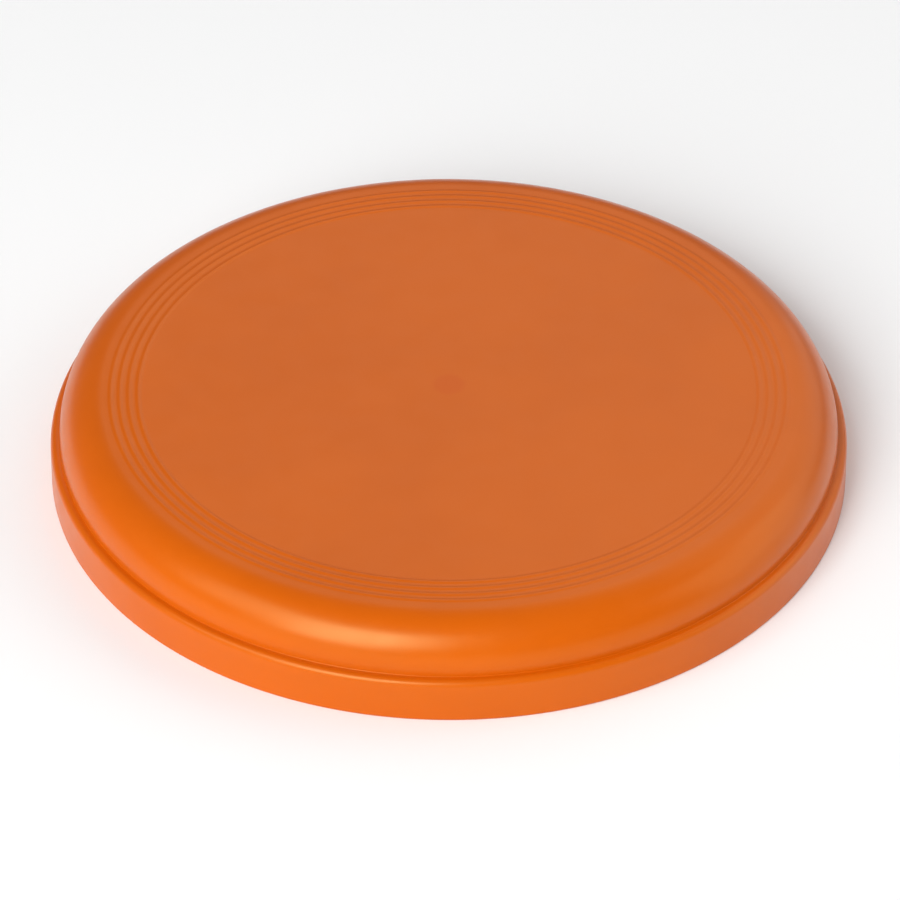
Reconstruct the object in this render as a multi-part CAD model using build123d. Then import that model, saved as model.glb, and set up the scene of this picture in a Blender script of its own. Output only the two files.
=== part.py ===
from build123d import *

import os

# Flying disc: one injection moulding, round about +Z.
# Millimetres. The origin is the centre of the rim's bottom plane, and the disc rests on its rim.
# The half section is drawn once and divided at the moulding's own breaks in shape, so the zones
# meet face to face and together are exactly the whole moulding.

# Driving dimensions
DIAMETER = 220.0  # over the rim skirt at its bottom edge
PLATE_TOP_Z = 26.5  # flat top of the disc, above the rim's bottom plane
LEDGE_Z = 12.8  # stacking ledge, above the rim's bottom plane
UPPER_WALL_RADIUS = 107.2  # upright wall between the ledge and the shoulder
PLATE_WALL = 2.0  # thickness of the plate, the shoulder and the ledge
SKIRT_WALL = 2.4  # thickness of the rim skirt
SKIRT_DRAFT = 0.2  # the skirt's two faces lean in by this much, from the bottom up to the ledge

# Corner radii of the half section
SHOULDER_RADIUS = 12.1  # outside of the rounded shoulder
CREASE_RADIUS = 0.4  # hollow corner where the upper wall meets the ledge
LEDGE_EDGE_RADIUS = 1.7  # outer edge of the ledge
RIM_OUTER_RADIUS = 0.8  # bottom edge, outside
RIM_INNER_RADIUS = 0.4  # bottom edge, inside
SKIRT_ROOT_RADIUS = 0.5  # inside corner between the skirt and the ledge's underside
LEDGE_UNDER_RADIUS = 1.0  # inside edge between the ledge's underside and the upper wall

# Flight rings: low ridges that stand on the top face near the shoulder
RING_COUNT = 4
RING_OUTER_RADIUS = 92.7  # crest of the outermost ring
RING_PITCH = 2.5
RING_FOOT_WIDTH = 1.8
RING_CREST_WIDTH = 0.4
RING_HEIGHT = 0.15

# Moulding gate: a shallow recess in the underside, with the gate's stub inside it
GATE_RECESS_RADIUS = 6.0
GATE_RECESS_DEPTH = 0.5
GATE_RECESS_SLOPE = 0.5  # the recess is wider by this much at its mouth
GATE_STUB_RADIUS = 1.3
GATE_STUB_HEIGHT = 0.35

# Breaks between the zones
CENTRE_PLATE_RADIUS = 83.6  # edge of the plain centre, just inside the innermost ring
SKIRT_TOP_Z = 10.0  # where the skirt meets the ledge's web

# Derived dimensions
RIM_RADIUS = DIAMETER / 2
PLATE_UNDER_Z = PLATE_TOP_Z - PLATE_WALL
LEDGE_UNDER_Z = LEDGE_Z - PLATE_WALL
UPPER_WALL_INNER_RADIUS = UPPER_WALL_RADIUS - PLATE_WALL
SKIRT_INNER_RADIUS = RIM_RADIUS - SKIRT_WALL
SHOULDER_START_RADIUS = UPPER_WALL_RADIUS - SHOULDER_RADIUS
SHOULDER_START_Z = PLATE_TOP_Z - SHOULDER_RADIUS


def moulding_section():
    """Half section of the whole moulding, drawn with x as the radius and y as the height."""
    wall = FilletPolyline(
        (0, PLATE_TOP_Z),
        (UPPER_WALL_RADIUS, PLATE_TOP_Z),
        (UPPER_WALL_RADIUS, LEDGE_Z),
        (RIM_RADIUS - SKIRT_DRAFT, LEDGE_Z),
        (RIM_RADIUS, 0),
        (SKIRT_INNER_RADIUS, 0),
        (SKIRT_INNER_RADIUS - SKIRT_DRAFT, LEDGE_UNDER_Z),
        (UPPER_WALL_INNER_RADIUS, LEDGE_UNDER_Z),
        (UPPER_WALL_INNER_RADIUS, PLATE_UNDER_Z),
        (0, PLATE_UNDER_Z),
        radius=[
            SHOULDER_RADIUS,
            CREASE_RADIUS,
            LEDGE_EDGE_RADIUS,
            RIM_OUTER_RADIUS,
            RIM_INNER_RADIUS,
            SKIRT_ROOT_RADIUS,
            LEDGE_UNDER_RADIUS,
            SHOULDER_RADIUS - PLATE_WALL,
        ],
    )
    centre_line = Line((0, PLATE_UNDER_Z), (0, PLATE_TOP_Z))
    return make_face(Curve() + [wall, centre_line])


def gate_recess_section():
    """What the moulding gate takes out of the plate's underside."""
    floor_z = PLATE_UNDER_Z + GATE_RECESS_DEPTH
    stub_tip_z = floor_z - GATE_STUB_HEIGHT
    return make_face(
        Polyline(
            (0, PLATE_UNDER_Z),
            (GATE_RECESS_RADIUS + GATE_RECESS_SLOPE, PLATE_UNDER_Z),
            (GATE_RECESS_RADIUS, floor_z),
            (GATE_STUB_RADIUS, floor_z),
            (GATE_STUB_RADIUS, stub_tip_z),
            (0, stub_tip_z),
            close=True,
        )
    )


def ring_section(crest_radius):
    """Low ridge with sloping flanks, standing on the top face."""
    crest_z = PLATE_TOP_Z + RING_HEIGHT
    return make_face(
        Polyline(
            (crest_radius - RING_FOOT_WIDTH / 2, PLATE_TOP_Z),
            (crest_radius - RING_CREST_WIDTH / 2, crest_z),
            (crest_radius + RING_CREST_WIDTH / 2, crest_z),
            (crest_radius + RING_FOOT_WIDTH / 2, PLATE_TOP_Z),
            close=True,
        )
    )


def zone(section, inner_radius, outer_radius, low_z, high_z):
    """Part of a half section between two radii and two heights."""
    window = Polygon(
        (inner_radius, low_z),
        (outer_radius, low_z),
        (outer_radius, high_z),
        (inner_radius, high_z),
        align=None,
    )
    return section & window


def turned(section):
    """Solid of revolution about +Z."""
    return revolve(Plane.XZ * section, Axis.Z)


def build_nodes():
    """Every zone of the moulding as its own closed solid, by node name."""
    section = moulding_section() - gate_recess_section()
    sections = {
        "centre_plate": zone(section, 0, CENTRE_PLATE_RADIUS, 0, PLATE_TOP_Z),
        "ring_band": zone(section, CENTRE_PLATE_RADIUS, SHOULDER_START_RADIUS, 0, PLATE_TOP_Z),
        "shoulder": zone(
            section, SHOULDER_START_RADIUS, RIM_RADIUS, SHOULDER_START_Z, PLATE_TOP_Z
        ),
        "stacking_ledge": zone(
            section, SHOULDER_START_RADIUS, RIM_RADIUS, SKIRT_TOP_Z, SHOULDER_START_Z
        ),
        "rim_skirt": zone(section, SHOULDER_START_RADIUS, RIM_RADIUS, 0, SKIRT_TOP_Z),
    }
    for index in range(RING_COUNT):
        crest_radius = RING_OUTER_RADIUS - index * RING_PITCH
        sections[f"flight_ring_{index + 1}"] = ring_section(crest_radius)
    return {name: turned(face) for name, face in sections.items()}


os.makedirs("parts", exist_ok=True)
for name, solid in build_nodes().items():
    export_step(solid, f"parts/{name}.step")
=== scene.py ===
import math

import bpy
from mathutils import Euler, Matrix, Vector


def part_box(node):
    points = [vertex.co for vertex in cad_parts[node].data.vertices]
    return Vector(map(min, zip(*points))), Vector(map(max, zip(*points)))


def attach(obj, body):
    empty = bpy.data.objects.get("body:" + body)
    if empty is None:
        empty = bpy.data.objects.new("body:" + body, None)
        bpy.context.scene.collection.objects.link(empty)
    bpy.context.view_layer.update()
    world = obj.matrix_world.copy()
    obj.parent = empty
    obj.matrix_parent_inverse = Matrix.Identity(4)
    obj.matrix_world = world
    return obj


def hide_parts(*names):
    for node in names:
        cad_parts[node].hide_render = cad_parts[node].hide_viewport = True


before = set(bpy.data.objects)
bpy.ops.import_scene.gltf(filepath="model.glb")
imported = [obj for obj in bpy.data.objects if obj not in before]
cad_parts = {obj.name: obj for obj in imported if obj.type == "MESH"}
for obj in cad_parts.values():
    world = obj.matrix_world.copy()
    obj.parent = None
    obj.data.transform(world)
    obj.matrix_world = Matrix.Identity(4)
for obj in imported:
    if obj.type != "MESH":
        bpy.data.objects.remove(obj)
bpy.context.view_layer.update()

# Flying disc: one injection moulding in satin orange plastic, made here as five closed pieces that
# meet without a seam. Sizes are in millimetres, and MM turns them into Blender's metres.
MM = 0.001

# Half section of the moulding
RIM_RADIUS = 110.0
LEDGE_Z = 12.8
UPPER_WALL_RADIUS = 107.2
PLATE_WALL = 2.0
SKIRT_WALL = 2.4
SKIRT_DRAFT = 0.2
SHOULDER_RADIUS = 12.1
CREASE_RADIUS = 0.2
LEDGE_EDGE_RADIUS = 1.7
RIM_OUTER_RADIUS = 0.8
RIM_INNER_RADIUS = 0.4
SKIRT_ROOT_RADIUS = 0.5
LEDGE_UNDER_RADIUS = 1.0
CENTRE_PLATE_RADIUS = 83.6

# Flight rings
RING_COUNT = 4
RING_OUTER_RADIUS = 92.7
RING_PITCH = 2.5
RING_FOOT_WIDTH = 2.1
RING_HEIGHT = 0.15

# Gate recess in the underside
GATE_RECESS_RADIUS = 6.0
GATE_RECESS_DEPTH = 0.5
GATE_RECESS_SLOPE = 0.5
GATE_STUB_RADIUS = 1.3
GATE_STUB_HEIGHT = 0.35
GATE_CORNER_RADIUS = 0.12

# The plastic's colours, linear
PLASTIC_DEEP = (0.570, 0.0960, 0.001, 1)
PLASTIC_PALE = (0.600, 0.1030, 0.001, 1)
PLASTIC_GATE = (0.575, 0.0880, 0.001, 1)

# The plastic's surface
PLASTIC_IOR = 1.45
SPECULAR_TINT = (1.0, 0.93, 0.42, 1)
ROUGHNESS_RANGE = (0.285, 0.325)
GRAIN_STRENGTH = 0.2
GRAIN_DEPTH = 0.01  # millimetres
NOISE_RANGE = (0.3, 0.7)  # a noise's values are stretched from here to the range wanted
GATE_MARK_EDGE = (3.3, 5.3)  # the mark over the gate fades out between these radii

# Studio, metres and radians
SOFTBOX_DISTANCE = 2.5
WORLD_BRIGHTNESS = 0.18
FLOOR_HALF_WIDTH = 6.0
FLOOR_COLOUR = (0.95, 0.95, 0.95, 1)
FLOOR_ROUGHNESS = 0.9
CAMERA_DISTANCE = 1.3475
CAMERA_ELEVATION = math.radians(38.05)
CAMERA_ROLL = math.radians(0.152)
CAMERA_TARGET = Vector((0.00035, 0.00475, 0))
CAMERA_LENS = 194.0  # millimetres, as is the sensor
CAMERA_SENSOR = 36.0
CAMERA_CLIP = (0.05, 50)

# Fineness of the meshes
SEGMENTS = 288
LONGEST_RUN = 3.5
RING_STEPS = 10
SHOULDER_STEPS = 36
FEWEST_ARC_STEPS = 4
ARC_STEP = math.radians(4)
ON_AXIS = 1e-9  # a point nearer to the axis than this is on it
SPOT_DIGITS = 5  # decimals of a millimetre that tell two points apart

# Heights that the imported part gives
PLATE_TOP_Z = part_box("ring_band")[1].z / MM
PLATE_UNDER_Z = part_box("ring_band")[0].z / MM
SHOULDER_LOW_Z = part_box("shoulder")[0].z / MM
SKIRT_TOP_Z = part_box("rim_skirt")[1].z / MM

# Derived dimensions
LEDGE_UNDER_Z = LEDGE_Z - PLATE_WALL
INNER_WALL_RADIUS = UPPER_WALL_RADIUS - PLATE_WALL
SKIRT_INNER_RADIUS = RIM_RADIUS - SKIRT_WALL
SHOULDER_START_RADIUS = UPPER_WALL_RADIUS - SHOULDER_RADIUS
SKIRT_TOP_OUTER_RADIUS = RIM_RADIUS - SKIRT_DRAFT * SKIRT_TOP_Z / LEDGE_Z
SKIRT_TOP_INNER_RADIUS = SKIRT_INNER_RADIUS - SKIRT_DRAFT * SKIRT_TOP_Z / LEDGE_UNDER_Z


# ---------------------------------------------------------------- section

def arc(centre, start, turn, steps):
    """Points from start round the centre, through a turn in radians."""
    arm = start - centre
    points = []
    for step in range(steps + 1):
        angle = turn * step / steps
        points.append(centre + Vector((
            arm.x * math.cos(angle) - arm.y * math.sin(angle),
            arm.x * math.sin(angle) + arm.y * math.cos(angle),
        )))
    return points


def rounded(corners):
    """Points along straight lines with rounded corners.

    A corner is (radius from the axis, height, rounding), and the two ends have no rounding.
    """
    points = [Vector(corners[0][:2])]
    for before, corner, after in zip(corners, corners[1:], corners[2:]):
        here, rounding = Vector(corner[:2]), corner[2]
        back = (Vector(before[:2]) - here).normalized()
        ahead = (Vector(after[:2]) - here).normalized()
        half_turn = (math.pi - back.angle(ahead)) / 2
        centre = here + (back + ahead).normalized() * rounding / math.cos(half_turn)
        start = here + back * (rounding * math.tan(half_turn))
        side = math.copysign(1, back.x * ahead.y - back.y * ahead.x)
        steps = max(FEWEST_ARC_STEPS, math.ceil(2 * half_turn / ARC_STEP))
        points += arc(centre, start, side * -2 * half_turn, steps)
    points.append(Vector(corners[-1][:2]))
    return points


def divided(points):
    """The same points with long straight stretches cut into shorter ones."""
    result = [points[0]]
    for start, end in zip(points, points[1:]):
        count = max(1, math.ceil((end - start).length / LONGEST_RUN))
        result += [start.lerp(end, (index + 1) / count) for index in range(count)]
    return result


def shoulder_arc(radius, first_z, last_z):
    """Quarter round between the plate and the upper wall, outside or inside."""
    centre = Vector((SHOULDER_START_RADIUS, PLATE_TOP_Z - SHOULDER_RADIUS))
    points = []
    for step in range(SHOULDER_STEPS + 1):
        turn = math.pi / 2 * step / SHOULDER_STEPS
        points.append(centre + radius * Vector((math.sin(turn), math.cos(turn))))
    points[0].y, points[-1].y = first_z, last_z
    return points


# Each zone gives its outer and its inner outline. The outer one runs from the centre or the top to
# the outside or the bottom, and the inner one runs back.

def centre_plate_outlines():
    """Flat top, and an underside with the gate's recess and stub."""
    recess_z = PLATE_UNDER_Z + GATE_RECESS_DEPTH
    stub_z = recess_z - GATE_STUB_HEIGHT
    top = [Vector((0, PLATE_TOP_Z)), Vector((CENTRE_PLATE_RADIUS, PLATE_TOP_Z))]
    underside = rounded([
        (CENTRE_PLATE_RADIUS, PLATE_UNDER_Z),
        (GATE_RECESS_RADIUS + GATE_RECESS_SLOPE, PLATE_UNDER_Z, GATE_CORNER_RADIUS),
        (GATE_RECESS_RADIUS, recess_z, GATE_CORNER_RADIUS),
        (GATE_STUB_RADIUS, recess_z, GATE_CORNER_RADIUS),
        (GATE_STUB_RADIUS, stub_z, GATE_CORNER_RADIUS),
        (0, stub_z),
    ])
    return divided(top), divided(underside)


def ring_band_outlines():
    """Top with the flight rings as soft ridges, and a flat underside."""
    top = [Vector((CENTRE_PLATE_RADIUS, PLATE_TOP_Z))]
    for index in reversed(range(RING_COUNT)):
        crest = RING_OUTER_RADIUS - index * RING_PITCH
        for step in range(RING_STEPS + 1):
            along = step / RING_STEPS - 0.5
            height = RING_HEIGHT * math.cos(math.pi * along) ** 2
            top.append(Vector((crest + along * RING_FOOT_WIDTH, PLATE_TOP_Z + height)))
    top.append(Vector((SHOULDER_START_RADIUS, PLATE_TOP_Z)))
    underside = [
        Vector((SHOULDER_START_RADIUS, PLATE_UNDER_Z)),
        Vector((CENTRE_PLATE_RADIUS, PLATE_UNDER_Z)),
    ]
    return top, divided(underside)


def shoulder_outlines():
    """Rounded edge between the flat top and the upper wall."""
    outside = shoulder_arc(SHOULDER_RADIUS, PLATE_TOP_Z, SHOULDER_LOW_Z)
    inside = shoulder_arc(SHOULDER_RADIUS - PLATE_WALL, PLATE_UNDER_Z, SHOULDER_LOW_Z)
    return outside, inside[::-1]


def stacking_ledge_outlines():
    """Upper wall, crease and step, and the inner faces behind them."""
    outside = rounded([
        (UPPER_WALL_RADIUS, SHOULDER_LOW_Z),
        (UPPER_WALL_RADIUS, LEDGE_Z, CREASE_RADIUS),
        (RIM_RADIUS - SKIRT_DRAFT, LEDGE_Z, LEDGE_EDGE_RADIUS),
        (SKIRT_TOP_OUTER_RADIUS, SKIRT_TOP_Z),
    ])
    inside = rounded([
        (SKIRT_TOP_INNER_RADIUS, SKIRT_TOP_Z),
        (SKIRT_INNER_RADIUS - SKIRT_DRAFT, LEDGE_UNDER_Z, SKIRT_ROOT_RADIUS),
        (INNER_WALL_RADIUS, LEDGE_UNDER_Z, LEDGE_UNDER_RADIUS),
        (INNER_WALL_RADIUS, SHOULDER_LOW_Z),
    ])
    return divided(outside), divided(inside)


def rim_skirt_outlines():
    """Upright rim; one outline goes all the way round its bottom edge."""
    whole = rounded([
        (SKIRT_TOP_OUTER_RADIUS, SKIRT_TOP_Z),
        (RIM_RADIUS, 0, RIM_OUTER_RADIUS),
        (SKIRT_INNER_RADIUS, 0, RIM_INNER_RADIUS),
        (SKIRT_TOP_INNER_RADIUS, SKIRT_TOP_Z),
    ])
    return divided(whole), []


def section_zones():
    """Both outlines of every zone, from the centre of the top to the rim."""
    return {
        "centre_plate": centre_plate_outlines(),
        "ring_band": ring_band_outlines(),
        "shoulder": shoulder_outlines(),
        "stacking_ledge": stacking_ledge_outlines(),
        "rim_skirt": rim_skirt_outlines(),
    }


# ---------------------------------------------------------------- meshes

def outline_normals(outline):
    """Outward normal at each point of the outline, from the stretches on both sides of it."""
    normals = []
    last = len(outline) - 1
    for index in range(last + 1):
        before = (outline[index] - outline[max(index - 1, 0)]).normalized()
        after = (outline[min(index + 1, last)] - outline[index]).normalized()
        along = (before + after).normalized()
        normals.append(Vector((-along.y, along.x)))
    normals[0], normals[last] = Vector((0, 1)), Vector((0, -1))
    return normals


def spot(point):
    """Key of a point, rounded so that two zones that share the point agree on it."""
    return round(point.x, SPOT_DIGITS), round(point.y, SPOT_DIGITS)


def skin_normals(zones):
    """Normal at each spot of the whole moulding's skin, so that the zones meet without a seam."""
    runs = [outer for outer, _ in zones.values()]
    runs += [inner for _, inner in reversed(zones.values()) if inner]
    outline = runs[0][:1]
    for run in runs:
        outline += run[1:]
    return {spot(point): normal for point, normal in zip(outline, outline_normals(outline))}


def turned_point(point, angle):
    """Place of an outline's point, in metres, after a turn about Z."""
    return (point.x * MM * math.cos(angle), point.x * MM * math.sin(angle), point.y * MM)


def turned_normal(normal, angle):
    """Direction of an outline's normal after a turn about Z."""
    return (normal.x * math.cos(angle), normal.x * math.sin(angle), normal.y)


def turned_stretch(loop, first, index, is_cut):
    """Faces of one stretch of the loop turned about Z, and a normal for each of their corners."""
    after = (index + 1) % len(loop)
    along = (loop[after][0] - loop[index][0]).normalized()
    flat = Vector((-along.y, along.x))
    faces, normals = [], []
    for turn in range(SEGMENTS):
        face = []
        for at, side in ((index, turn), (after, turn), (after, turn + 1), (index, turn + 1)):
            vertex = first[at] + (0 if loop[at][0].x < ON_AXIS else side % SEGMENTS)
            if vertex not in face:
                face.append(vertex)
                normal = flat if is_cut else loop[at][1]
                normals.append(turned_normal(normal, math.tau * side / SEGMENTS))
        faces.append(face)
    return faces, normals


def lathe(name, outer, inner):
    """Closed ring or disc turned about Z from two outlines, each a list of (point, normal)."""
    loop = outer + inner
    cuts = {len(outer) - 1, len(loop) - 1}
    vertices, first = [], []
    for point, _ in loop:
        first.append(len(vertices))
        turns = 1 if point.x < ON_AXIS else SEGMENTS
        vertices += [turned_point(point, math.tau * turn / SEGMENTS) for turn in range(turns)]
    faces, normals = [], []
    for index, (point, _) in enumerate(loop):
        following = loop[(index + 1) % len(loop)][0]
        if max(point.x, following.x) >= ON_AXIS:
            more_faces, more_normals = turned_stretch(loop, first, index, index in cuts)
            faces += more_faces
            normals += more_normals
    mesh = bpy.data.meshes.new(name)
    mesh.from_pydata(vertices, [], faces)
    mesh.polygons.foreach_set("use_smooth", [True] * len(faces))
    mesh.normals_split_custom_set(normals)
    mesh.update()
    piece = bpy.data.objects.new(name, mesh)
    bpy.context.collection.objects.link(piece)
    return piece


def build_pieces():
    """Every zone of the moulding as a closed piece, by zone name."""
    zones = section_zones()
    normal_at = skin_normals(zones)
    pieces = {}
    for name, runs in zones.items():
        outer, inner = ([(point, normal_at[spot(point)]) for point in run] for run in runs)
        pieces[name] = lathe(name + "_moulded", outer, inner)
    return pieces


# ---------------------------------------------------------------- material

def noise(tree, place, size, detail, roughness):
    """Noise whose coarsest lumps are about this many millimetres across."""
    node = tree.nodes.new("ShaderNodeTexNoise")
    node.inputs["Scale"].default_value = 1 / (size * MM)
    node.inputs["Detail"].default_value = detail
    node.inputs["Roughness"].default_value = roughness
    tree.links.new(place, node.inputs["Vector"])
    return node.outputs["Fac"]


def spread(tree, value, from_range, to_range):
    """The value carried smoothly from one range to the other."""
    node = tree.nodes.new("ShaderNodeMapRange")
    node.interpolation_type = "SMOOTHSTEP"
    for socket, number in zip(node.inputs[1:5], from_range + to_range):
        socket.default_value = number
    tree.links.new(value, node.inputs["Value"])
    return node.outputs["Result"]


def distance_from_axis(tree, place):
    """Distance from the disc's axis, in millimetres."""
    flat = tree.nodes.new("ShaderNodeVectorMath")
    flat.operation = "MULTIPLY"
    flat.inputs[1].default_value = (1 / MM, 1 / MM, 0)
    tree.links.new(place, flat.inputs[0])
    length = tree.nodes.new("ShaderNodeVectorMath")
    length.operation = "LENGTH"
    tree.links.new(flat.outputs["Vector"], length.inputs[0])
    return length.outputs["Value"]


def colour_mix(tree, amount):
    """Mix of two colours by the amount: its sockets for no amount, for the full amount, and out."""
    node = tree.nodes.new("ShaderNodeMix")
    node.data_type = "RGBA"
    tree.links.new(amount, node.inputs["Factor"])
    sockets = {socket.identifier: socket for socket in [*node.inputs, *node.outputs]}
    return sockets["A_Color"], sockets["B_Color"], sockets["Result_Color"]


def plastic_colour(tree, place):
    """Faint clouds in the orange, and a darker mark over the gate."""
    cloud_noise = noise(tree, place, size=45, detail=3, roughness=0.55)
    deep, pale, clouded = colour_mix(tree, spread(tree, cloud_noise, NOISE_RANGE, (0, 1)))
    deep.default_value = PLASTIC_DEEP
    pale.default_value = PLASTIC_PALE
    gate_mark = spread(tree, distance_from_axis(tree, place), GATE_MARK_EDGE, (1, 0))
    around, gate, marked = colour_mix(tree, gate_mark)
    tree.links.new(clouded, around)
    gate.default_value = PLASTIC_GATE
    return marked


def mould_grain(tree, place):
    """Normals of the fine even grain that the mould leaves."""
    grain = tree.nodes.new("ShaderNodeBump")
    grain.inputs["Strength"].default_value = GRAIN_STRENGTH
    grain.inputs["Distance"].default_value = GRAIN_DEPTH * MM
    height = noise(tree, place, size=1.1, detail=1, roughness=0.5)
    tree.links.new(height, grain.inputs["Height"])
    return grain.outputs["Normal"]


def moulded_plastic():
    """Satin orange polypropylene, with a gloss that varies a little from patch to patch."""
    material = bpy.data.materials.new("moulded_orange_plastic")
    material.use_nodes = True
    tree = material.node_tree
    shader = tree.nodes["Principled BSDF"]
    shader.inputs["IOR"].default_value = PLASTIC_IOR
    shader.inputs["Specular Tint"].default_value = SPECULAR_TINT
    place = tree.nodes.new("ShaderNodeTexCoord").outputs["Object"]
    patches = noise(tree, place, size=7, detail=2, roughness=0.5)
    gloss = spread(tree, patches, NOISE_RANGE, ROUGHNESS_RANGE)
    tree.links.new(plastic_colour(tree, place), shader.inputs["Base Color"])
    tree.links.new(gloss, shader.inputs["Roughness"])
    tree.links.new(mould_grain(tree, place), shader.inputs["Normal"])
    return material


# ---------------------------------------------------------------- studio

def softbox(name, azimuth, elevation, size, brightness):
    """Softbox facing the disc, with azimuth 0 at +X and 90 behind the disc, in degrees."""
    turn, lift = math.radians(azimuth), math.radians(elevation)
    data = bpy.data.lights.new(name, "AREA")
    data.shape = "RECTANGLE"
    data.size, data.size_y = size
    data.energy = brightness * math.pi * size[0] * size[1]
    lamp = bpy.data.objects.new(name, data)
    lamp.location = SOFTBOX_DISTANCE * Vector((
        math.cos(lift) * math.cos(turn), math.cos(lift) * math.sin(turn), math.sin(lift)
    ))
    lamp.rotation_euler = (-lamp.location).to_track_quat("-Z", "Y").to_euler()
    bpy.context.collection.objects.link(lamp)


def softboxes():
    """The key light at the front left with its wing, and dimmer panels round the disc."""
    softbox("key_softbox", azimuth=240, elevation=32, size=(1.15, 1.8), brightness=8.0)
    softbox("key_wing", azimuth=257, elevation=36, size=(0.7, 1.3), brightness=4.9)
    softbox("left_panel", azimuth=205, elevation=38, size=(1.0, 1.5), brightness=2.4)
    softbox("right_panel", azimuth=3, elevation=23, size=(1.9, 2.0), brightness=1.45)
    softbox("back_right_panel", azimuth=48, elevation=36, size=(2.1, 2.4), brightness=0.95)
    softbox("back_panel", azimuth=88, elevation=40, size=(0.95, 1.25), brightness=0.9)


def studio_floor():
    """Plain pale floor."""
    half = FLOOR_HALF_WIDTH
    corners = [(-half, -half, 0), (half, -half, 0), (half, half, 0), (-half, half, 0)]
    mesh = bpy.data.meshes.new("studio_floor")
    mesh.from_pydata(corners, [], [(0, 1, 2, 3)])
    floor = bpy.data.objects.new("studio_floor", mesh)
    material = bpy.data.materials.new("pale_floor")
    material.use_nodes = True
    shader = material.node_tree.nodes["Principled BSDF"]
    shader.inputs["Base Color"].default_value = FLOOR_COLOUR
    shader.inputs["Roughness"].default_value = FLOOR_ROUGHNESS
    mesh.materials.append(material)
    bpy.context.collection.objects.link(floor)


def camera():
    """Long lens from the front, looking down on the disc."""
    data = bpy.data.cameras.new("camera")
    data.sensor_width = CAMERA_SENSOR
    data.lens = CAMERA_LENS
    data.clip_start, data.clip_end = CAMERA_CLIP
    eye = bpy.data.objects.new("camera", data)
    eye.location = (
        0,
        -CAMERA_DISTANCE * math.cos(CAMERA_ELEVATION),
        CAMERA_DISTANCE * math.sin(CAMERA_ELEVATION),
    )
    facing = (CAMERA_TARGET - eye.location).to_track_quat("-Z", "Y")
    eye.rotation_euler = (facing @ Euler((0, 0, CAMERA_ROLL)).to_quaternion()).to_euler()
    bpy.context.collection.objects.link(eye)
    bpy.context.scene.camera = eye


def studio():
    """Soft white surroundings, softboxes, floor and camera."""
    world = bpy.data.worlds.new("studio")
    world.use_nodes = True
    background = world.node_tree.nodes["Background"]
    background.inputs["Color"].default_value = (1, 1, 1, 1)
    background.inputs["Strength"].default_value = WORLD_BRIGHTNESS
    bpy.context.scene.world = world
    bpy.context.scene.view_settings.view_transform = "Standard"
    softboxes()
    studio_floor()
    camera()


pieces = build_pieces()
plastic = moulded_plastic()
stands_for = {name: [name] for name in pieces}
stands_for["ring_band"] += [f"flight_ring_{index + 1}" for index in range(RING_COUNT)]
for name, piece in pieces.items():
    piece.data.materials.append(plastic)
    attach(piece, "root")
    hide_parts(*stands_for[name])
studio()
